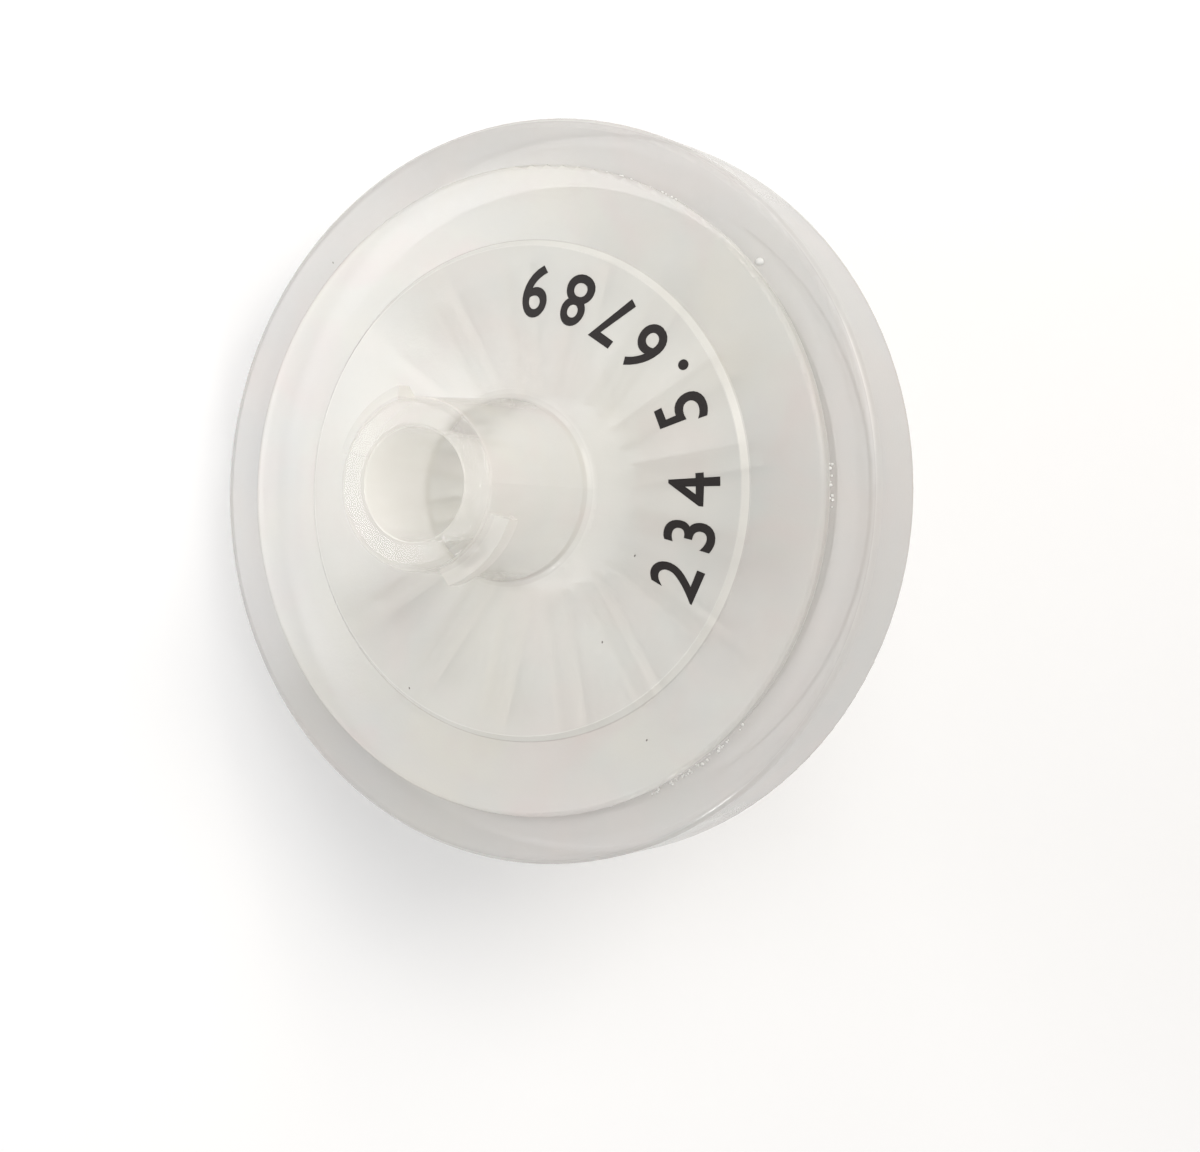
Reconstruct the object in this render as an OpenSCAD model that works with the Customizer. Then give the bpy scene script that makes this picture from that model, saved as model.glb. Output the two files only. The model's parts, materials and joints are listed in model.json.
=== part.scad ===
// Disposable syringe filter with a 25 mm membrane: two polypropylene housings clamp the
// membrane, and a moulded band locks their flanges together. Each piece is drawn round the
// flow axis, with +Z towards the inlet and the band's middle at Z = 0, and is then laid down
// as the filter lies on a table, on the edge of its band and the tip of its outlet.

/* [Membrane] */
// Diameter of the membrane disc
membrane_d = 25; // [18:0.5:33]
// Thickness of the membrane disc
membrane_t = 0.15; // [0.1:0.01:0.3]
// Width of the membrane's edge that the housings clamp
seat_w = 1.3; // [0.8:0.1:2]
// Gap round the edge of the membrane
pocket_gap = 0.05; // [0.02:0.01:0.15]

/* [Sealing band] */
// Height of the band
band_h = 4; // [3:0.1:6]
// Radius on the band's outer edges
band_edge_r = 0.4; // [0.1:0.05:0.6]
// Wall of the band outside the flanges
band_wall = 0.9; // [0.6:0.05:2]

/* [Housings] */
// Housing wall outside the membrane pocket
shoulder_w = 0.55; // [0.4:0.05:1.5]
// Width of the flange that the band grips
flange_w = 1.05; // [0.6:0.05:2]
// Thickness of each flange
flange_t = 1; // [0.6:0.05:1.2]
// Height of the housing faces above the band
face_rise = 0.55; // [0.3:0.05:1.5]
// Radius on the edge of the housing faces
face_edge_r = 0.2; // [0.1:0.05:0.25]
// Width of the flat shelf round the raised middle
shelf_w = 3; // [1.5:0.1:4]
// Height of the step up to the raised middle
step_rise = 0.3; // [0.15:0.05:0.6]
// Width of the step's slope
step_w = 0.25; // [0.1:0.05:0.5]
// Rise of the cone from the step to the hub
cone_rise = 0.8; // [0.4:0.1:1.5]
// Thickness of the housing plates
plate_t = 1.3; // [0.9:0.05:1.5]

/* [Flow ribs] */
// Number of ribs in the inlet chamber, and of radial channels under the membrane
rib_count = 16; // [8:1:20]
// Width of a rib
rib_w = 0.9; // [0.4:0.05:1]
// Gap between the ribs and the membrane
rib_gap = 0.25; // [0.1:0.05:0.5]
// Radius at which the ribs start
rib_start_r = 2.9; // [2.6:0.1:4]
// Turn of the ribs round the flow axis in degrees
rib_turn = 8; // [0:0.5:22]

/* [Membrane support] */
// Spacing of the ring channels under the membrane
ring_pitch = 1.4; // [1.1:0.1:2]
// Width of a ring channel
ring_channel_w = 0.6; // [0.4:0.05:0.8]
// Depth of the channels under the membrane
channel_depth = 0.5; // [0.3:0.05:0.7]
// Width of a radial channel
radial_channel_w = 0.7; // [0.4:0.05:0.8]

/* [Inlet hub, female lock fitting] */
// Height of the hub above the housing's cone
hub_h = 7; // [6:0.1:10]
// Outside diameter of the hub at its mouth
hub_d = 6.5; // [6:0.05:6.73]
// Growth of the hub's radius for each mm towards the housing
hub_draft = 0.05; // [0:0.005:0.08]
// Radius on the hub's mouth edge
hub_edge_r = 0.3; // [0.1:0.05:0.4]
// Fillet where the hub meets the housing
hub_fillet_r = 0.5; // [0.2:0.1:1]
// Diameter of the tapered socket at its mouth
socket_d = 4.3; // [4.27:0.01:4.32]
// Radius on the socket's mouth edge
socket_edge_r = 0.15; // [0.05:0.05:0.3]
// Thickness of the floor between the socket and the chamber
socket_floor_t = 0.45; // [0.3:0.05:1]
// Diameter of the port from the socket to the membrane
port_d = 2.2; // [1.5:0.1:2.6]

/* [Lugs] */
// How far each lug stands out from the hub
lug_reach = 0.66; // [0.4:0.01:0.75]
// Arc of each lug in degrees
lug_arc = 54; // [30:1:70]
// Height of a lug at its crest
lug_crest_h = 0.7; // [0.3:0.05:1]
// Height of a lug where it leaves the hub
lug_root_h = 1.5; // [1:0.05:2]
// Distance from the hub's mouth to the lugs
lug_drop = 0.35; // [0.3:0.05:1]
// Turn of the lugs round the hub in degrees
lug_turn = 133; // [0:1:180]

/* [Outlet nozzle, male slip fitting] */
// Length of the nozzle below the housing's cone
nozzle_len = 8.5; // [7.5:0.1:12]
// Diameter of the nozzle at its tip
nozzle_tip_d = 3.96; // [3.93:0.01:3.99]
// Diameter of the bore through the nozzle
nozzle_bore_d = 2.2; // [1.2:0.1:2.6]
// Radius on the edge of the nozzle's tip
nozzle_edge_r = 0.15; // [0.05:0.05:0.3]
// Fillet where the nozzle meets the housing
nozzle_fillet_r = 0.8; // [0.3:0.1:1.5]

/* [Hidden] */
$fn = 96;

// The standard taper of both fittings is 6 % on the diameter.
taper = 0.06 / 2;
taper_wall_angle = 90 + atan(taper);
// Overlap that lets a cut run clear of the faces it goes through
past = 0.5;

natural_pp = [0.90, 0.90, 0.88];
frosted_pp = [0.86, 0.87, 0.86];
membrane_white = [0.97, 0.97, 0.95];

// Radii, from the membrane outwards
membrane_r = membrane_d / 2;
pocket_r = membrane_r + pocket_gap;
chamber_r = membrane_r - seat_w;
face_r = membrane_r + shoulder_w;
flange_r = face_r + flange_w;
band_r = flange_r + band_wall;

// Heights on the outside, the same on both sides of the membrane
band_top = band_h / 2;
face_z = band_top + face_rise;
step_top = face_z + step_rise;
cone_top = step_top + cone_rise;
step_foot_r = face_r - shelf_w;
step_r = step_foot_r - step_w;
membrane_face = membrane_t / 2;

// Inlet hub
hub_r = hub_d / 2;
hub_root_r = hub_r + hub_h * hub_draft;
hub_wall_angle = 90 + atan(hub_draft);
mouth_z = cone_top + hub_h;
port_r = port_d / 2;
socket_floor_z = ceiling_z(port_r, hub_root_r) + socket_floor_t;
socket_floor_r = socket_d / 2 - (mouth_z - socket_floor_z) * taper;

// Outlet nozzle
nozzle_tip_r = nozzle_tip_d / 2;
nozzle_root_r = nozzle_tip_r + nozzle_len * taper;
nozzle_tip_z = cone_top + nozzle_len;
nozzle_bore_r = nozzle_bore_d / 2;
// Radius at which the round on the tip's edge has its centre
nozzle_round_r = nozzle_tip_r - nozzle_edge_r / tan(taper_wall_angle / 2);

// Slope of the cones, and the height of the chamber's ceiling under one of them
function cone_slope(root_r) = cone_rise / (step_r - root_r);
function ceiling_z(r, root_r) = step_top - plate_t + (step_r - r) * cone_slope(root_r);

// The filter lies on a line that touches both the band's lower edge and the nozzle's tip.
// Both edges are rounded, so the line is the common tangent of two circles.
band_round_r = band_r - band_edge_r;
band_round_z = band_top - band_edge_r;
reach = [band_round_r - nozzle_round_r, nozzle_tip_z - nozzle_edge_r - band_round_z];
lean = atan2(reach[1], reach[0]) - asin((band_edge_r - nozzle_edge_r) / norm(reach));
rest_height = band_round_r * sin(lean) + band_round_z * cos(lean) + band_edge_r;

// Lays a piece down: the inlet leans towards -X and the table is Z = 0.
module at_rest() {
    translate([0, 0, rest_height])
        rotate([0, -lean, 0])
            children();
}

// The area between a corner and an arc that touches both of its edges. The edges leave the
// corner in the directions a1 and a2. Added to an inside corner it is a fillet, and taken
// from an outside corner it leaves a round.
module corner_area(corner, a1, a2, r) {
    half = abs(a1 - a2) / 2;
    middle = (a1 + a2) / 2;
    along = r / tan(half);
    centre = corner + r / sin(half) * [cos(middle), sin(middle)];
    difference() {
        polygon([
            corner,
            corner + along * [cos(a1), sin(a1)],
            centre,
            corner + along * [cos(a2), sin(a2)]
        ]);
        translate(centre)
            circle(r);
    }
}

// Half-section of a housing plate without its hub: flange, face, step and cone, cut out
// below by the membrane's pocket and the flow chamber. bore_r is the way through it.
module plate_section(root_r, bore_r) {
    difference() {
        polygon([
            [bore_r, 0],
            [flange_r, 0],
            [flange_r, flange_t],
            [face_r, flange_t],
            [face_r, face_z],
            [step_foot_r, face_z],
            [step_r, step_top],
            [root_r, cone_top],
            [bore_r, cone_top]
        ]);
        corner_area([face_r, face_z], 180, 270, face_edge_r);
        translate([bore_r - past, -past])
            square([pocket_r - bore_r + past, membrane_face + past]);
    }
}

// The chamber between the plate and the membrane, as a half-section
module chamber_section(root_r) {
    polygon([
        [0, 0],
        [chamber_r, 0],
        [chamber_r, ceiling_z(chamber_r, root_r)],
        [port_r, ceiling_z(port_r, root_r)],
        [0, ceiling_z(port_r, root_r)]
    ]);
}

// Tapered hub with a rounded mouth and a fillet at its root
module hub_section() {
    cone_angle = -atan(cone_slope(hub_root_r));
    difference() {
        polygon([
            [port_r, cone_top - past],
            [hub_root_r, cone_top - past],
            [hub_root_r, cone_top],
            [hub_r, mouth_z],
            [port_r, mouth_z]
        ]);
        corner_area([hub_r, mouth_z], 180, hub_wall_angle + 180, hub_edge_r);
        corner_area([socket_d / 2, mouth_z], 0, -taper_wall_angle, socket_edge_r);
    }
    corner_area([hub_root_r, cone_top], cone_angle, hub_wall_angle, hub_fillet_r);
}

// Tapered socket and the port below it
module socket_section() {
    polygon([
        [0, 0],
        [port_r, 0],
        [port_r, socket_floor_z],
        [socket_floor_r, socket_floor_z],
        [socket_d / 2 + past * taper, mouth_z + past],
        [0, mouth_z + past]
    ]);
}

// One lug: a ridge with sloping flanks that follows the hub for part of a turn
module lug() {
    top = mouth_z - lug_drop;
    flank = (lug_root_h - lug_crest_h) / 2;
    rotate([0, 0, -lug_arc / 2])
        rotate_extrude(angle = lug_arc)
            polygon([
                [hub_r - past, top],
                [hub_r, top],
                [hub_r + lug_reach, top - flank],
                [hub_r + lug_reach, top - flank - lug_crest_h],
                [hub_r, top - lug_root_h],
                [hub_r - past, top - lug_root_h]
            ]);
}

// One rib that hangs from the ceiling of the inlet chamber
module inlet_rib() {
    foot = membrane_face + rib_gap;
    translate([rib_start_r, -rib_w / 2, foot])
        cube([chamber_r - rib_start_r + past, rib_w, ceiling_z(port_r, hub_root_r) - foot]);
}

// All the ribs, ended by the shape of the chamber they stand in
module inlet_ribs() {
    intersection() {
        rotate_extrude()
            polygon([
                [0, membrane_face + rib_gap],
                [chamber_r + past / 2, membrane_face + rib_gap],
                [chamber_r + past / 2, ceiling_z(chamber_r, hub_root_r) + past / 2],
                [rib_start_r, ceiling_z(rib_start_r, hub_root_r) + past / 2],
                [0, ceiling_z(rib_start_r, hub_root_r) + past / 2]
            ]);
        for (i = [0 : rib_count - 1])
            rotate([0, 0, rib_turn + i * 360 / rib_count])
                inlet_rib();
    }
}

module inlet_housing() {
    color(natural_pp)
        at_rest() {
            rotate_extrude()
                difference() {
                    union() {
                        plate_section(hub_root_r, port_r);
                        hub_section();
                    }
                    chamber_section(hub_root_r);
                    socket_section();
                }
            for (turn = [0, 180])
                rotate([0, 0, lug_turn + turn])
                    lug();
            inlet_ribs();
        }
}

// Tapered nozzle with a rounded tip and a fillet at its root, drawn upwards
module nozzle_section() {
    cone_angle = -atan(cone_slope(nozzle_root_r));
    difference() {
        polygon([
            [nozzle_bore_r, cone_top - past],
            [nozzle_root_r, cone_top - past],
            [nozzle_root_r, cone_top],
            [nozzle_tip_r, nozzle_tip_z],
            [nozzle_bore_r, nozzle_tip_z]
        ]);
        corner_area([nozzle_tip_r, nozzle_tip_z], 180, taper_wall_angle + 180, nozzle_edge_r);
    }
    corner_area([nozzle_root_r, cone_top], cone_angle, taper_wall_angle, nozzle_fillet_r);
}

// Ring and radial channels that carry the filtrate from the membrane to the nozzle
module support_channels() {
    first_r = nozzle_bore_r + ring_pitch;
    last_r = chamber_r - ring_channel_w / 2;
    rotate_extrude()
        for (r = [first_r : ring_pitch : last_r])
            translate([r - ring_channel_w / 2, 0])
                square([ring_channel_w, membrane_face + channel_depth]);
    for (i = [0 : rib_count - 1])
        rotate([0, 0, i * 360 / rib_count])
            translate([0, -radial_channel_w / 2, 0])
                cube([last_r, radial_channel_w, membrane_face + channel_depth]);
}

module outlet_housing() {
    color(natural_pp)
        at_rest()
            mirror([0, 0, 1])
                difference() {
                    rotate_extrude() {
                        plate_section(nozzle_root_r, nozzle_bore_r);
                        nozzle_section();
                    }
                    support_channels();
                }
}

module membrane() {
    color(membrane_white)
        at_rest()
            translate([0, 0, -membrane_face])
                cylinder(h = membrane_t, r = membrane_r);
}

// The band's section is a C that closes round both flanges.
module sealing_band() {
    color(frosted_pp)
        at_rest()
            rotate_extrude()
                difference() {
                    translate([face_r, -band_top])
                        square([band_r - face_r, band_h]);
                    translate([face_r - past, -flange_t])
                        square([flange_w + past, 2 * flange_t]);
                    corner_area([band_r, band_top], 180, 270, band_edge_r);
                    corner_area([band_r, -band_top], 180, 90, band_edge_r);
                }
}

inlet_housing();
outlet_housing();
membrane();
sealing_band();
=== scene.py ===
import json
import math

import bmesh
import bpy
from mathutils import Matrix, Vector
from mathutils.bvhtree import BVHTree


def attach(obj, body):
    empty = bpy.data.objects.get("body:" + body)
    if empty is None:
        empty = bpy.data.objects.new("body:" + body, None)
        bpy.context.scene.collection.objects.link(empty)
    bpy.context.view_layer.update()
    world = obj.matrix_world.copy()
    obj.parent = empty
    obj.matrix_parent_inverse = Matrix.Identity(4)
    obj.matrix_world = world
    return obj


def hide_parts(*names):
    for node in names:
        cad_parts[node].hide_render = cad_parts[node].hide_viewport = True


# The filter as it lies on the table.
# It is a disc with a hub on one side and a nozzle on the other. It rests on the edge of its
# band and the tip of its nozzle, so its flow axis leans. Every pattern is laid out round it.
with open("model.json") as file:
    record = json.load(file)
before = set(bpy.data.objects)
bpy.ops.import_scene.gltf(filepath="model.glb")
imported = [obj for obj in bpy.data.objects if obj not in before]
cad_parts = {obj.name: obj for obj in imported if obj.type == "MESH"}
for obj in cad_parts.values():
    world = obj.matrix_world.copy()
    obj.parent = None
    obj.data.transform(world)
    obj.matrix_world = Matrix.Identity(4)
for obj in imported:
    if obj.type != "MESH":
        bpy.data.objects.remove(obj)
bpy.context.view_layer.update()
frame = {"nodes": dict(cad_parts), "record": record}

MM = 0.001
rim = next(mount for mount in frame["record"]["mounts"] if mount["name"] == "band_rim")
centre = Vector(rim["pos_m"])
flow_axis = Vector(rim["axis"]).normalized()
lean = math.atan2(-flow_axis.x, flow_axis.z)
# The filter's own frame has its origin in the membrane's middle and z along the flow axis
filter_to_row = Matrix.Translation(centre) @ Matrix.Rotation(-lean, 4, "Y")


# Outlet housing.
# One injection moulding in natural polypropylene: the lower plate, whose channels hold up
# the membrane, and the tapered nozzle. Its flange is locked to the upper one by the band.
polypropylene_ior = 1.49
# The white that painted light mixes into the plastic's colour
painted_light_white = "#fbfaf5"


def linear(hex_colour):
    """An sRGB colour such as "#c8c8c8" as the linear RGBA that shaders take."""
    channels = [int(hex_colour[i : i + 2], 16) / 255 for i in (1, 3, 5)]
    return [c / 12.92 if c <= 0.04045 else ((c + 0.055) / 1.055) ** 2.4 for c in channels] + [1.0]


def add(tree, kind, inputs=None, **settings):
    """Adds a node, sets its settings, and fills its inputs with values or other nodes' sockets."""
    node = tree.nodes.new(kind)
    for name, value in settings.items():
        setattr(node, name, value)
    for key, value in (inputs or {}).items():
        if isinstance(value, bpy.types.NodeSocket):
            tree.links.new(value, node.inputs[key])
        else:
            node.inputs[key].default_value = value
    return node


def new_material(name):
    """A material with nothing in it yet, and its node tree."""
    material = bpy.data.materials.new(name)
    material.use_nodes = True
    material.node_tree.nodes.clear()
    return material, material.node_tree


def place_in_filter(tree):
    """The point being shaded, in the filter's frame."""
    place = add(tree, "ShaderNodeTexCoord").outputs["Object"]
    turned = add(
        tree,
        "ShaderNodeMapping",
        {"Vector": place, "Location": centre, "Rotation": (0, -lean, 0)},
        vector_type="TEXTURE",
    )
    return turned.outputs["Vector"]


def radius_at(tree, place):
    """How far a point is from the flow axis."""
    flat = add(tree, "ShaderNodeVectorMath", {0: place, 1: (1, 1, 0)}, operation="MULTIPLY")
    length = add(tree, "ShaderNodeVectorMath", {0: flat.outputs[0]}, operation="LENGTH")
    return length.outputs["Value"]


def height_at(tree, place):
    """How far a point is from the membrane's plane, to either side of it."""
    z = add(tree, "ShaderNodeSeparateXYZ", {"Vector": place}).outputs["Z"]
    return add(tree, "ShaderNodeMath", {0: z}, operation="ABSOLUTE").outputs[0]


def inside(tree, radius, height, max_radius, max_height):
    """1 where a point is nearer the axis and the membrane than both limits, otherwise 0."""
    near_axis = add(tree, "ShaderNodeMath", {0: radius, 1: max_radius}, operation="LESS_THAN")
    near_middle = add(tree, "ShaderNodeMath", {0: height, 1: max_height}, operation="LESS_THAN")
    both = {0: near_axis.outputs[0], 1: near_middle.outputs[0]}
    return add(tree, "ShaderNodeMath", both, operation="MULTIPLY").outputs[0]


def by_place(tree, radius, height, value, regions):
    """A number that is value, but has its own value in each region round the flow axis.

    A region is its radius in mm, its height in mm to either side of the membrane, and the
    number in it. Where regions overlap, the last one holds.
    """
    for max_radius, max_height, inner in regions:
        where = inside(tree, radius, height, max_radius * MM, max_height * MM)
        value = add(tree, "ShaderNodeMix", {0: where, 2: value, 3: inner}).outputs[0]
    return value


def moulded_polypropylene(
    name,
    body,
    haze,
    blush,
    milk,
    cloud_mm,
    grain_mm,
    grain_depth_mm,
    hidden,
    painted_light_places=(),
    polished=(),
):
    """Natural polypropylene as moulded: milky, because light scatters in its crystals.

    The mould's fine spark finish gives it a satin gloss, and the melt leaves faint clouds.
    The finish's real grain is too fine to show, so it is drawn coarser than it is.
    milk is how much of what lies behind it one face hides, and hidden is where that differs.
    The places listed to go towards white are painted light: there the colour goes towards white to
    stand in for light that scatters many times in a thick wall. polished is where the mould is
    smoother, and how rough the surface is there.
    """
    material, tree = new_material(name)
    place = place_in_filter(tree)
    radius = radius_at(tree, place)
    height = height_at(tree, place)
    clouds = add(
        tree,
        "ShaderNodeTexNoise",
        {"Vector": place, "Scale": 1 / (cloud_mm * MM), "Detail": 3.0, "Roughness": 0.5},
    )
    cloudy = add(
        tree,
        "ShaderNodeMapRange",
        {"Value": clouds.outputs["Fac"], "From Min": 0.35, "From Max": 0.65},
    )
    streak_mm = cloud_mm * 0.6
    streaks = add(
        tree,
        "ShaderNodeTexNoise",
        {"Vector": place, "Scale": 1 / (streak_mm * MM), "Detail": 2.0, "Distortion": 0.6},
    )
    streaky = add(
        tree,
        "ShaderNodeMapRange",
        {"Value": streaks.outputs["Fac"], "From Min": 0.45, "From Max": 0.75},
    )
    plain = add(
        tree,
        "ShaderNodeMix",
        {0: cloudy.outputs["Result"], 6: linear(body), 7: linear(haze)},
        data_type="RGBA",
    )
    colour = add(
        tree,
        "ShaderNodeMix",
        {0: streaky.outputs["Result"], 6: plain.outputs[2], 7: linear(blush)},
        data_type="RGBA",
    )
    # Painted light: the colour goes towards white in the listed places
    if painted_light_places:
        painted_light_share = by_place(tree, radius, height, 0.0, painted_light_places)
        colour = add(
            tree,
            "ShaderNodeMix",
            {0: painted_light_share, 6: colour.outputs[2], 7: linear(painted_light_white)},
            data_type="RGBA",
        )
    gloss = add(
        tree,
        "ShaderNodeMapRange",
        {
            "Value": clouds.outputs["Fac"],
            "From Min": 0.3,
            "From Max": 0.7,
            "To Min": 0.09,
            "To Max": 0.19,
        },
    )
    grain = add(
        tree,
        "ShaderNodeTexNoise",
        {"Vector": place, "Scale": 1 / (grain_mm * MM), "Detail": 2.0},
    )
    bump = add(
        tree,
        "ShaderNodeBump",
        {"Height": grain.outputs["Fac"], "Strength": 0.35, "Distance": grain_depth_mm * MM},
    )
    shader = add(
        tree,
        "ShaderNodeBsdfPrincipled",
        {
            "Base Color": colour.outputs[2],
            "Roughness": by_place(tree, radius, height, gloss.outputs["Result"], polished),
            "IOR": polypropylene_ior,
            "Alpha": by_place(tree, radius, height, milk, hidden),
            "Normal": bump.outputs["Normal"],
        },
    )
    add(tree, "ShaderNodeOutputMaterial", {"Surface": shader.outputs["BSDF"]})
    return material


def finish_node(name, material):
    """Gives a CAD node its material."""
    for slot in frame["nodes"][name].material_slots:
        slot.material = material


natural_resin = {
    "body": "#e8e5dc",
    "haze": "#e0e1de",
    "blush": "#e6ddd9",
    "milk": 0.5,
    "grain_mm": 0.12,
    "grain_depth_mm": 0.015,
}
finish_node(
    "outlet_housing",
    moulded_polypropylene(
        "moulded_polypropylene_outlet",
        **natural_resin,
        cloud_mm=5,
        hidden=[
            (14.3, 2.02, 0.12),  # the flange, inside the band
            (14.0, 0.5, 0.0),  # where it touches the membrane and the other flange
            (11.3, 1.36, 0.03),  # the wall of the chamber
            (11.15, 2.5, 0.3),  # the floor of the chamber
            (11.15, 0.5, 0.0),  # the tops of the membrane support
            (1.3, 12.1, 0.15),  # the bore of the nozzle
        ],
    ),
)


# Membrane.
# A white polyethersulfone disc 25 mm across, cast and punched, and matt like fine blotting
# paper. The housings clamp its edge and press it slightly thinner than it is when loose.
pressed_by = 0.02 * MM
pore_clump = 0.15 * MM
pore_depth = 0.02 * MM
# Painted light: the membrane's inner part is coloured nearer white, standing in for light that the
# hub's thick walls and the cone scatter down
painted_light_full_r = 6.0 * MM
painted_light_start_r = 8.5 * MM


def in_filter(node):
    """The points of a CAD node in the filter's frame."""
    to_filter = filter_to_row.inverted()
    return [to_filter @ vertex.co for vertex in frame["nodes"][node].data.vertices]


def in_scene(name, data):
    """A new object in the scene, with this mesh, curve, light or camera."""
    thing = bpy.data.objects.new(name, data)
    bpy.context.scene.collection.objects.link(thing)
    return thing


def built(name, shape):
    """A piece whose mesh is the shape that was built in bmesh."""
    mesh = bpy.data.meshes.new(name)
    shape.to_mesh(mesh)
    shape.free()
    return in_scene(name, mesh)


def revolved(name, section):
    """A closed piece turned from a half-section, which is given in the filter's frame."""
    turned = bmesh.new()
    ring = [turned.verts.new((r, 0, z)) for r, z in section]
    edges = [turned.edges.new(pair) for pair in zip(ring, ring[1:])]
    bmesh.ops.spin(turned, geom=ring + edges, axis=(0, 0, 1), angle=math.tau, steps=128)
    bmesh.ops.remove_doubles(turned, verts=turned.verts, dist=0.0001 * MM)
    bmesh.ops.recalc_face_normals(turned, faces=turned.faces)
    piece = built(name, turned)
    piece.data.transform(filter_to_row)
    return piece


def cast_membrane():
    """Cast polyethersulfone: a matt white foam, whose pores are far too fine to see.

    What shows is how they clump, and the clumps are drawn as coarse as they need to be. Its grey,
    darker than the white it is, is painted shade between the flow ribs, and its inner part is
    painted nearer white as painted light from the hub.
    """
    material, tree = new_material("cast_polyethersulfone")
    place = place_in_filter(tree)
    pores = add(
        tree,
        "ShaderNodeTexNoise",
        {"Vector": place, "Scale": 1 / pore_clump, "Detail": 3.0, "Roughness": 0.7},
    )
    # Painted shade: this grey, darker than the white membrane, stands in for shade between the
    # flow ribs
    colour = add(
        tree,
        "ShaderNodeMix",
        {0: pores.outputs["Fac"], 6: linear("#e0e0dc"), 7: linear("#d7d7d3")},
        data_type="RGBA",
    )
    # Painted light: towards the middle the colour goes nearer white, for light that the hub
    # scatters down
    inner = add(
        tree,
        "ShaderNodeMapRange",
        {"Value": radius_at(tree, place), "From Min": painted_light_start_r, "From Max": painted_light_full_r},
    )
    painted_light_colour = add(
        tree,
        "ShaderNodeMix",
        {0: inner.outputs["Result"], 6: colour.outputs[2], 7: linear("#fcfcf9")},
        data_type="RGBA",
    )
    bump = add(
        tree,
        "ShaderNodeBump",
        {"Height": pores.outputs["Fac"], "Strength": 0.5, "Distance": pore_depth},
    )
    shader = add(
        tree,
        "ShaderNodeBsdfPrincipled",
        {
            "Base Color": painted_light_colour.outputs[2],
            "Roughness": 0.9,
            "Specular IOR Level": 0.2,
            "Normal": bump.outputs["Normal"],
        },
    )
    add(tree, "ShaderNodeOutputMaterial", {"Surface": shader.outputs["BSDF"]})
    return material


membrane_points = in_filter("membrane")
membrane_r = max(math.hypot(point.x, point.y) for point in membrane_points)
pressed_face = max(point.z for point in membrane_points) - pressed_by
upper_half = [(0, pressed_face), (membrane_r, pressed_face)]
lower_half = [(r, -z) for r, z in reversed(upper_half)]
membrane_disc = revolved("membrane_disc", upper_half + lower_half)
membrane_disc.data.materials.append(cast_membrane())
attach(membrane_disc, "root")
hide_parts("membrane")


# Inlet housing.
# The upper injection moulding in the same polypropylene, with its flow ribs underneath, the
# stepped and coned face, and the hub with its tapered socket and two lock lugs.
finish_node(
    "inlet_housing",
    moulded_polypropylene(
        "moulded_polypropylene_inlet",
        **natural_resin,
        cloud_mm=6,
        hidden=[
            (4.2, 10.7, 0.5),  # the lugs and the hub's foot
            (3.66, 8.0, 0.46),  # the outside of the hub
            (3.45, 10.7, 0.22),  # the hub's end
            (3.45, 10.5, 0.46),  # the outside of the hub near its end
            (14.3, 2.02, 0.12),  # the flange, inside the band
            (14.0, 0.2, 0.0),  # where it touches the membrane and the other flange
            (11.3, 1.36, 0.03),  # the wall of the chamber
            (11.15, 2.5, 0.06),  # the ceiling of the chamber
            (11.15, 1.3, 0.25),  # the outer ends of the flow ribs
            (9.6, 1.3, 0.7),  # the flow ribs
            (4.0, 2.5, 0.0),  # the ceiling and the ribs under the hub
            (2.6, 10.6, 0.42),  # the wall of the socket
            (2.6, 3.1, 0.2),  # the bottom of the socket
        ],
        # Painted light: the hub, the slope of the step, the cone and the socket are coloured
        # towards white, standing in for light scattered in the thick plastic where these would lie
        # in shade
        painted_light_places=[
            (4.2, 10.7, 0.1),  # the hub and its lugs
            (14.3, 3.66, 0.0),  # the shelf
            (10.0, 3.66, 1.0),  # the slope of the step
            (9.76, 3.66, 0.38),  # the cone
            (2.3, 10.6, 1.0),  # the socket
        ],
        polished=[(4.2, 10.7, 0.05)],  # the hub, which has to seal
    ),
)


# Sealing band.
# Polypropylene moulded round both flanges in a second shot, which locks the filter together.
# It is a little more frosted than the housings, because it cooled faster.
finish_node(
    "sealing_band",
    moulded_polypropylene(
        "overmoulded_polypropylene",
        body="#cfcdc8",
        haze="#cbcbca",
        blush="#d1cbc7",
        milk=0.65,
        cloud_mm=7,
        grain_mm=0.14,
        grain_depth_mm=0.012,
        hidden=[
            (14.85, 5.0, 0.5),  # all but the outer wall
            (14.3, 1.98, 0.0),  # where it touches the flanges
        ],
    ),
)


# Print on the face.
# Plain numbers in near-black ink, pad printed on the cone round the hub, with their tops
# towards the hub. The ink is thin, with soft edges, and slightly grainy. Sizes are in mm.
digit_height = 1.97
digit_share = 0.682  # a digit's height as a share of the font's size
baseline_r = 8.91
ink_t = 0.015
ink_sunk = ink_t / 9  # how deep its underside lies in the face, so that no gap shows
ink_spread = 0.04  # how far it runs out past the outline
ink_grain = 0.08
digits = [
    # the digit, and its angle round the hub in degrees
    ("2", -26.0),
    ("3", -13.0),
    ("4", -0.5),
    ("5", 22.0),
    (".", 32.5),
    ("6", 43.0),
    ("7", 56.0),
    ("8", 69.3),
    ("9", 83.0),
]
upper_faces = [
    BVHTree.FromObject(frame["nodes"][node], bpy.context.evaluated_depsgraph_get())
    for node in ("inlet_housing", "sealing_band")
]


def on_face(radius, angle):
    """The point of the filter's upper face at this radius in mm and angle in radians."""
    above = Vector((radius * math.cos(angle) * MM, radius * math.sin(angle) * MM, 50 * MM))
    hits = [tree.ray_cast(filter_to_row @ above, -flow_axis) for tree in upper_faces]
    return min((hit for hit in hits if hit[0]), key=lambda hit: hit[3])[0]


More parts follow.
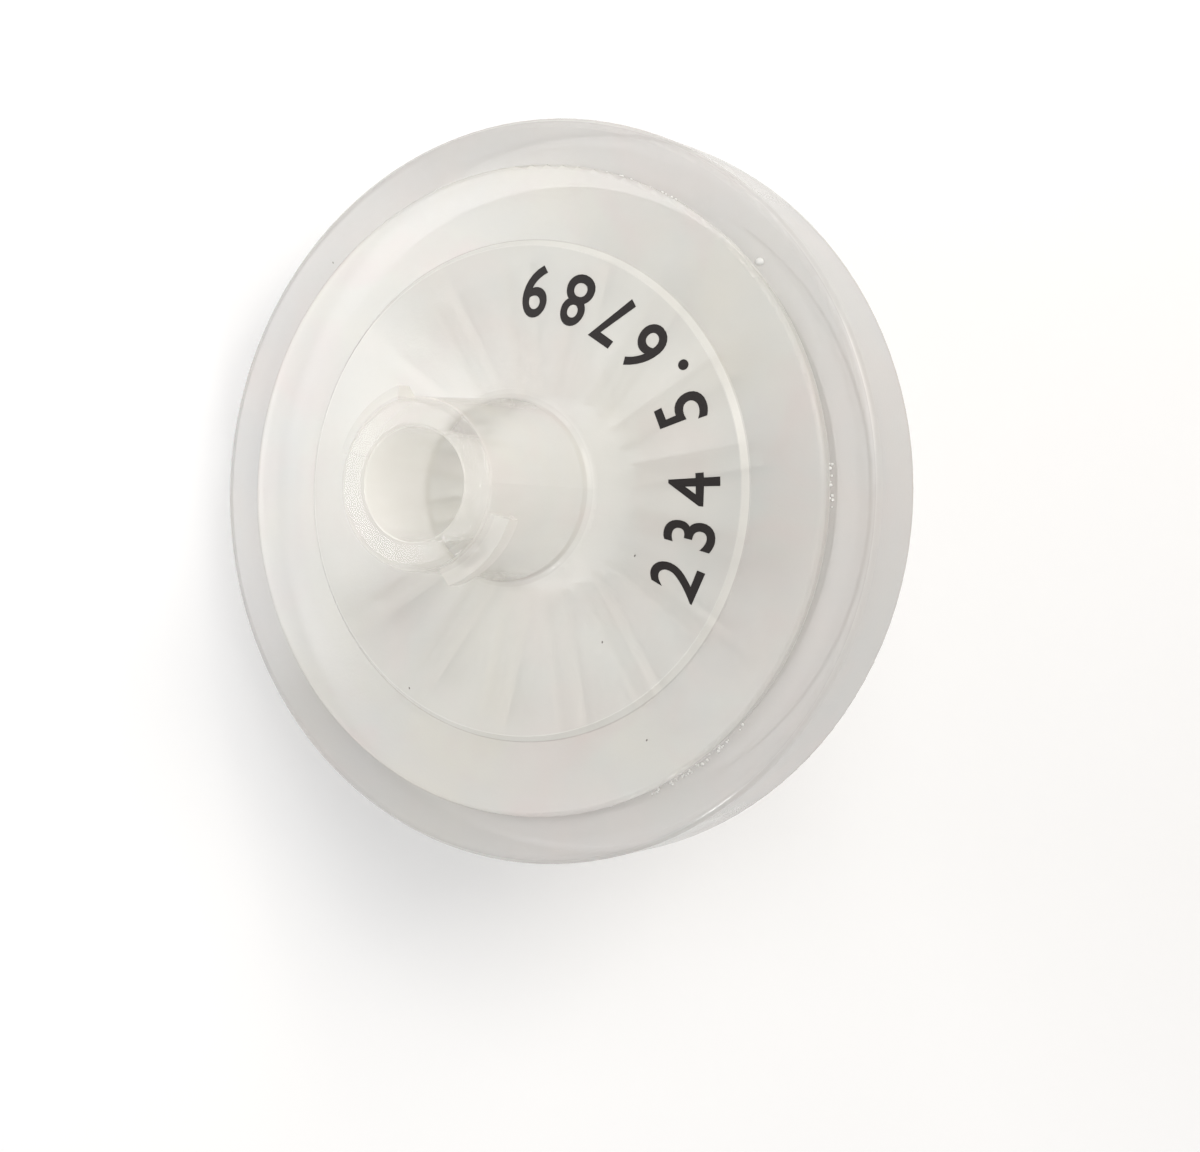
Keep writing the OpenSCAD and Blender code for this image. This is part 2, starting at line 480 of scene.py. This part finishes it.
def worked_out(thing):
    """The plain mesh that a curve or a modifier gives. The object that gave it is removed."""
    depsgraph = bpy.context.evaluated_depsgraph_get()
    mesh = bpy.data.meshes.new_from_object(thing.evaluated_get(depsgraph))
    bpy.data.objects.remove(thing)
    return mesh


def printed_digit(text):
    """A digit as a thin solid with its baseline at y = 0, centred on x = 0, in mm."""
    outline = bpy.data.curves.new("digit_outline", "FONT")
    outline.body = text
    outline.size = digit_height / digit_share
    outline.align_x = "CENTER"
    outline.bevel_depth = ink_spread
    outline.bevel_resolution = 1
    outline.resolution_u = 6
    return worked_out(in_scene("digit_outline", outline))


def printing_ink():
    """Near-black pad printing ink, half matt, its cover uneven at the scale of the pad's etch."""
    material, tree = new_material("pad_printing_ink")
    grain = add(
        tree,
        "ShaderNodeTexNoise",
        {"Vector": place_in_filter(tree), "Scale": 1 / (ink_grain * MM), "Detail": 2.0},
    )
    colour = add(
        tree,
        "ShaderNodeMix",
        {0: grain.outputs["Fac"], 6: linear("#0a0606"), 7: linear("#1e1715")},
        data_type="RGBA",
    )
    shader = add(
        tree,
        "ShaderNodeBsdfPrincipled",
        {"Base Color": colour.outputs[2], "Roughness": 0.5, "Specular IOR Level": 0.3},
    )
    add(tree, "ShaderNodeOutputMaterial", {"Surface": shader.outputs["BSDF"]})
    return material


ink = bmesh.new()
for text, angle in digits:
    digit = printed_digit(text)
    for vertex in digit.vertices:
        swing = math.radians(angle) + vertex.co.x / baseline_r
        depth_share = (vertex.co.z / ink_spread + 1) / 2  # 0 at its underside, 1 at its top
        lift = (depth_share * (ink_t + ink_sunk) - ink_sunk) * MM
        vertex.co = on_face(baseline_r - vertex.co.y, swing) + flow_axis * lift
    ink.from_mesh(digit)
    bpy.data.meshes.remove(digit)
bmesh.ops.remove_doubles(ink, verts=ink.verts, dist=0.0005 * MM)
bmesh.ops.recalc_face_normals(ink, faces=ink.faces)
print_piece = built("printed_numbers", ink)
print_piece.data.materials.append(printing_ink())
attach(print_piece, "root")


# Air bubbles.
# Tiny bubbles that the second shot trapped where it met the housings: along stretches of the
# seam round the face, along the edge of the flange below, and one larger one in the band.
bubble_runs = [
    # how many, from and to which angle in degrees, radius and height in mm
    (34, 57, 83, 12.98, 2.0),
    (12, -4, 4, 13.1, 2.0),
    (26, -66, -43, 13.12, 2.0),
    (12, -2, 5, 14.15, 1.9),
]
bubble_scatter = 0.07 * MM
smallest_bubble, largest_bubble = 0.03 * MM, 0.075 * MM
stray_bubble_angle = math.radians(40.3)
stray_bubble_r = 13.3 * MM
stray_bubble_height = 1.96 * MM
stray_bubble_half_size = Vector((0.19, 0.16, 0.12)) * MM


def clear_bubble():
    """The wall of a bubble: clear polypropylene, smooth as glass, so that it glints."""
    material, tree = new_material("air_bubble_wall")
    shader = add(
        tree,
        "ShaderNodeBsdfPrincipled",
        {
            "Base Color": linear("#f4f4f2"),
            "Roughness": 0.06,
            "IOR": polypropylene_ior,
            "Alpha": 0.75,
        },
    )
    add(tree, "ShaderNodeOutputMaterial", {"Surface": shader.outputs["BSDF"]})
    return material


def bubble_tree(wall):
    """A node tree that strews bubbles along a part of a circle round the flow axis."""
    tree = bpy.data.node_groups.new("trapped_bubbles", "GeometryNodeTree")
    for name, kind in (
        ("Count", "NodeSocketInt"),
        ("Start", "NodeSocketFloat"),
        ("End", "NodeSocketFloat"),
        ("Radius", "NodeSocketFloat"),
        ("Height", "NodeSocketFloat"),
        ("Scatter", "NodeSocketFloat"),
        ("Smallest", "NodeSocketFloat"),
        ("Largest", "NodeSocketFloat"),
        ("Seed", "NodeSocketInt"),
    ):
        tree.interface.new_socket(name=name, in_out="INPUT", socket_type=kind)
    tree.interface.new_socket(name="Geometry", in_out="OUTPUT", socket_type="NodeSocketGeometry")
    given = add(tree, "NodeGroupInput").outputs
    inwards = add(
        tree,
        "ShaderNodeMath",
        {0: given["Scatter"], 1: -1.0},
        operation="MULTIPLY",
    )
    # The three draws have different seeds, so that none follows another
    swing = add(
        tree,
        "FunctionNodeRandomValue",
        {2: given["Start"], 3: given["End"], "Seed": given["Seed"]},
    )
    shift = add(
        tree,
        "FunctionNodeRandomValue",
        {2: inwards.outputs[0], 3: given["Scatter"], "Seed": given["Count"]},
    )
    size = add(
        tree,
        "FunctionNodeRandomValue",
        {2: given["Smallest"], 3: given["Largest"], "Seed": 7},
    )
    radius = add(
        tree,
        "ShaderNodeMath",
        {0: given["Radius"], 1: shift.outputs[1]},
        operation="ADD",
    ).outputs[0]
    across = add(tree, "ShaderNodeMath", {0: swing.outputs[1]}, operation="COSINE").outputs[0]
    along = add(tree, "ShaderNodeMath", {0: swing.outputs[1]}, operation="SINE").outputs[0]
    x = add(tree, "ShaderNodeMath", {0: across, 1: radius}, operation="MULTIPLY").outputs[0]
    y = add(tree, "ShaderNodeMath", {0: along, 1: radius}, operation="MULTIPLY").outputs[0]
    place = add(tree, "ShaderNodeCombineXYZ", {0: x, 1: y, 2: given["Height"]}).outputs[0]
    points = add(tree, "GeometryNodePoints", {"Count": given["Count"], "Position": place})
    ball = add(tree, "GeometryNodeMeshIcoSphere", {"Radius": 1.0, "Subdivisions": 2})
    strewn = add(
        tree,
        "GeometryNodeInstanceOnPoints",
        {"Points": points.outputs[0], "Instance": ball.outputs[0], "Scale": size.outputs[1]},
    )
    real = add(tree, "GeometryNodeRealizeInstances", {0: strewn.outputs[0]})
    walled = add(tree, "GeometryNodeSetMaterial", {0: real.outputs[0]})
    walled.inputs["Material"].default_value = wall
    add(tree, "NodeGroupOutput", {0: walled.outputs[0]})
    return tree


bubble_wall = clear_bubble()
strewing = bubble_tree(bubble_wall)
bubbles = bmesh.new()
for seed, (count, start, end, radius, height) in enumerate(bubble_runs):
    run = in_scene("bubble_run", bpy.data.meshes.new("bubble_run"))
    strew = run.modifiers.new("strew", "NODES")
    strew.node_group = strewing
    sizes = {
        "Count": count,
        "Start": math.radians(start),
        "End": math.radians(end),
        "Radius": radius * MM,
        "Height": height * MM,
        "Scatter": bubble_scatter,
        "Smallest": smallest_bubble,
        "Largest": largest_bubble,
        "Seed": seed,
    }
    for socket in strewing.interface.items_tree:
        if socket.in_out == "INPUT":
            strew[socket.identifier] = sizes[socket.name]
    strewn_bubbles = worked_out(run)
    bubbles.from_mesh(strewn_bubbles)
    bpy.data.meshes.remove(strewn_bubbles)
stray_bubble_place = Vector(
    (
        stray_bubble_r * math.cos(stray_bubble_angle),
        stray_bubble_r * math.sin(stray_bubble_angle),
        stray_bubble_height,
    )
)
stray_bubble = bmesh.ops.create_icosphere(bubbles, subdivisions=3, radius=1)["verts"]
bmesh.ops.scale(bubbles, vec=stray_bubble_half_size, verts=stray_bubble)
bmesh.ops.translate(bubbles, vec=stray_bubble_place, verts=stray_bubble)
for face in bubbles.faces:
    face.smooth = True
bubble_piece = built("trapped_bubbles", bubbles)
bubble_piece.data.transform(filter_to_row)
bubble_piece.data.materials.append(bubble_wall)
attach(bubble_piece, "root")


# Dust.
# A few specks of grey household dust that settled on the face and the band. Each is a flat
# flake about a tenth of a mm across, and lies turned its own way.
specks = [
    # radius in mm, and angle in degrees
    (6.07, -25.5),
    (7.18, -56.3),
    (9.46, -122.5),
    (11.27, -60.2),
    (13.6, 134.0),
]
flake_half_size = Vector((0.06, 0.035, 0.015)) * MM
fleck_size = 0.03 * MM


def settled_dust():
    """Grey household dust: matt flakes, uneven within each."""
    material, tree = new_material("dark_dust")
    flecks = add(
        tree,
        "ShaderNodeTexNoise",
        {"Vector": place_in_filter(tree), "Scale": 1 / fleck_size},
    )
    colour = add(
        tree,
        "ShaderNodeMix",
        {0: flecks.outputs["Fac"], 6: linear("#4a4644"), 7: linear("#8a8682")},
        data_type="RGBA",
    )
    shader = add(
        tree,
        "ShaderNodeBsdfPrincipled",
        {"Base Color": colour.outputs[2], "Roughness": 0.9},
    )
    add(tree, "ShaderNodeOutputMaterial", {"Surface": shader.outputs["BSDF"]})
    return material


dust = bmesh.new()
for radius, angle in specks:
    swing = math.radians(angle)
    flake = bmesh.ops.create_icosphere(dust, subdivisions=1, radius=1)["verts"]
    flat = Matrix.Diagonal(flake_half_size).to_4x4()
    turned = Matrix.Rotation(-lean, 4, "Y") @ Matrix.Rotation(swing * 5, 4, "Z")
    settled = Matrix.Translation(on_face(radius, swing))
    bmesh.ops.transform(dust, matrix=settled @ turned @ flat, verts=flake)
dust_piece = built("dust_specks", dust)
dust_piece.data.materials.append(settled_dust())
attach(dust_piece, "root")


# Table.
# A plain white laminate table top. It shows the shadows near the filter, and further off it
# runs into the white of the room.
table_half = 0.6
plain_share_near = 0.18
plain_grows_from = 40 * MM
plain_from = 110 * MM


def seen_ray(tree):
    """1 for a ray that shows the background by itself, in a reflection or through a clear wall."""
    path = add(tree, "ShaderNodeLightPath").outputs
    seen = add(
        tree,
        "ShaderNodeMath",
        {0: path["Is Camera Ray"], 1: path["Is Glossy Ray"]},
        operation="MAXIMUM",
    )
    shown = add(
        tree,
        "ShaderNodeMath",
        {0: seen.outputs[0], 1: path["Is Transmission Ray"]},
        operation="MAXIMUM",
    )
    return shown.outputs[0]


def white_laminate():
    """Matt white table laminate. Its plain white takes over from its shading with distance."""
    material, tree = new_material("white_laminate")
    distance = add(
        tree,
        "ShaderNodeVectorMath",
        {0: place_in_filter(tree)},
        operation="LENGTH",
    )
    plain = add(
        tree,
        "ShaderNodeMapRange",
        {
            "Value": distance.outputs["Value"],
            "From Min": plain_grows_from,
            "From Max": plain_from,
            "To Min": plain_share_near,
            "To Max": 1.0,
        },
    )
    share = add(
        tree,
        "ShaderNodeMath",
        {0: seen_ray(tree), 1: plain.outputs["Result"]},
        operation="MULTIPLY",
    )
    surface = add(tree, "ShaderNodeBsdfDiffuse", {"Color": linear("#fdfdfd")})
    glow = add(tree, "ShaderNodeEmission", {"Color": linear("#ffffff"), "Strength": 1.0})
    mix = add(
        tree,
        "ShaderNodeMixShader",
        {0: share.outputs[0], 1: surface.outputs[0], 2: glow.outputs[0]},
    )
    add(tree, "ShaderNodeOutputMaterial", {"Surface": mix.outputs[0]})
    return material


corners = [(-1, -1, 0), (1, -1, 0), (1, 1, 0), (-1, 1, 0)]
table_mesh = bpy.data.meshes.new("table")
table_mesh.from_pydata([Vector(corner) * table_half for corner in corners], [], [(0, 1, 2, 3)])
table_mesh.materials.append(white_laminate())
table = in_scene("table", table_mesh)


# Light.
# A pale room all round. A low window lamp on the left shades the disc from left to right and
# gives the hub its soft shadow. Wide lamps overhead and at the upper right put the shadow at
# the lower left of the table, and two small ones fill the far and the near side.
room_light = 0.37
world = bpy.data.worlds.new("pale_room")
bpy.context.scene.world = world
world.use_nodes = True
world.node_tree.nodes.clear()
strength = add(
    world.node_tree,
    "ShaderNodeMath",
    {0: seen_ray(world.node_tree), 1: 1 - room_light, 2: room_light},
    operation="MULTIPLY_ADD",
)
room = add(
    world.node_tree,
    "ShaderNodeBackground",
    {"Color": linear("#ffffff"), "Strength": strength.outputs[0]},
)
add(world.node_tree, "ShaderNodeOutputWorld", {"Surface": room.outputs[0]})


def soft_lamp(name, place, width, watts, colour):
    """A square lamp that faces the filter and isn't seen itself."""
    light = bpy.data.lights.new(name, "AREA")
    light.size = width
    light.energy = watts
    light.color = linear(colour)[:3]
    lamp = in_scene(name, light)
    lamp.location = place
    lamp.rotation_euler = (centre - lamp.location).to_track_quat("-Z", "Y").to_euler()
    lamp.visible_camera = False


soft_lamp("window_lamp", (-0.08, 0.008, 0.028), width=0.036, watts=0.0285, colour="#fcfbfc")
soft_lamp("upper_lamp", (0.0, 0.062, 0.05), width=0.01, watts=0.005, colour="#fffefc")
soft_lamp("ceiling_lamp", (0.008, 0.05, 0.147), width=0.08, watts=0.064, colour="#fefdfc")
soft_lamp("side_lamp", (0.075, 0.062, 0.14), width=0.08, watts=0.097, colour="#fff8f0")
soft_lamp("front_lamp", (-0.005, -0.1, 0.052), width=0.014, watts=0.020, colour="#fffdfa")


# Camera.
# It looks down at the table from just left of straight above, close to the filter, so that
# the disc is seen a little from its side.
view_distance = 95 * MM
view_angle = math.radians(28.59)
seen_lean = math.radians(27.86)  # how far the flow axis leans from the line of sight
# A point on the flow axis near the front of the band, and where it lies in the view
aim = centre + flow_axis * 1.6 * MM
to_the_right, upwards = -2.691 * MM, 3.397 * MM
look = Matrix.Rotation(seen_lean - lean, 3, "Y")
eye = aim - look @ Vector((to_the_right, upwards, -view_distance))
camera_data = bpy.data.cameras.new("camera")
camera_data.sensor_fit = "HORIZONTAL"
camera_data.angle = view_angle
camera_data.clip_start = 1 * MM
camera = in_scene("camera", camera_data)
camera.matrix_world = Matrix.Translation(eye) @ look.to_4x4()
bpy.context.scene.camera = camera

bpy.context.scene.view_settings.view_transform = "Standard"
# Rays pass through many milky faces before they meet an opaque one
bpy.context.scene.cycles.transparent_max_bounces = 40
bpy.context.scene.cycles.max_bounces = 16
